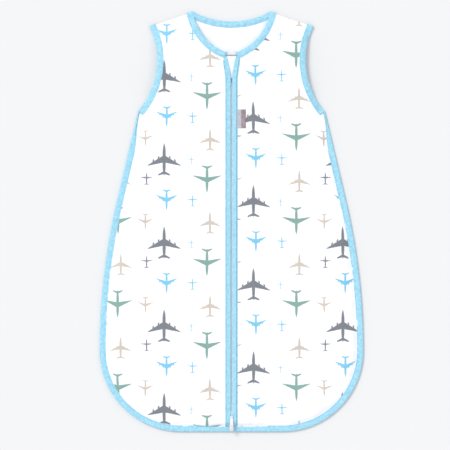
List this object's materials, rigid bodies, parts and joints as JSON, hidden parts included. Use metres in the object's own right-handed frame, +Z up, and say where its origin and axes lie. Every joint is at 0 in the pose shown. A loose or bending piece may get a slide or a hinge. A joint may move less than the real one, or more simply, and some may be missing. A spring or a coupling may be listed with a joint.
{
  "type": "baby sleeping bag",
  "caption": "Sleeveless zipped baby sleeping bag lying flat: front and back layers, bias bindings, and a centre-front zip whose slider and pull move.",
  "frame": {"origin": "centre of the bag's footprint, on the surface that it lies on", "axes": "+X towards the wearer's left, +Y from the hem to the neck, +Z up, out of the front of the bag"},
  "size_m": [0.4392, 0.7, 0.0154],
  "materials": {
    "shell": "soft double muslin with a small printed pattern",
    "lining": "plain white muslin",
    "wadding": "soft fibre wadding",
    "binding": "light blue cotton bias binding, topstitched",
    "label": "bare woven ribbon",
    "zip_tape": "woven tape",
    "zip_plastic": "nylon",
    "zip_metal": "white lacquer",
    "pull_tab": "soft moulded plastic"
  },
  "bodies": {
    "bag": {"armhole_binding_left": "binding", "armhole_binding_right": "binding", "back_lining": "lining", "back_shell": "shell", "back_wadding": "wadding", "edge_binding": "binding", "front_lining_left": "lining", "front_lining_right": "lining", "front_shell_left": "shell", "front_shell_right": "shell", "front_wadding_left": "wadding", "front_wadding_right": "wadding", "neck_binding": "binding", "side_label": "label", "zip_binding_left": "binding", "zip_binding_right": "binding", "zip_end_stops": "zip_metal", "zip_guard": "lining", "zip_insertion_pin": "zip_plastic", "zip_retainer_box": "zip_plastic", "zip_tape_left": "zip_tape", "zip_tape_right": "zip_tape", "zip_teeth_left": "zip_plastic", "zip_teeth_right": "zip_plastic"},
    "slider": {"zip_slider": "zip_metal"},
    "pull": {"zip_pull_head": "zip_metal", "zip_pull_tab": "pull_tab"}
  },
  "joints": [
    {"name": "slider_travel", "type": "slide", "parent": "bag", "child": "slider", "axis": [0, 1, 0], "range_m": [0, 0.546]},
    {"name": "pull_swing", "type": "hinge", "parent": "slider", "child": "pull", "pos_m": [0, -0.32445, 0.0138], "axis": [-1, 0, 0], "range_deg": [0, 170]}
  ]
}
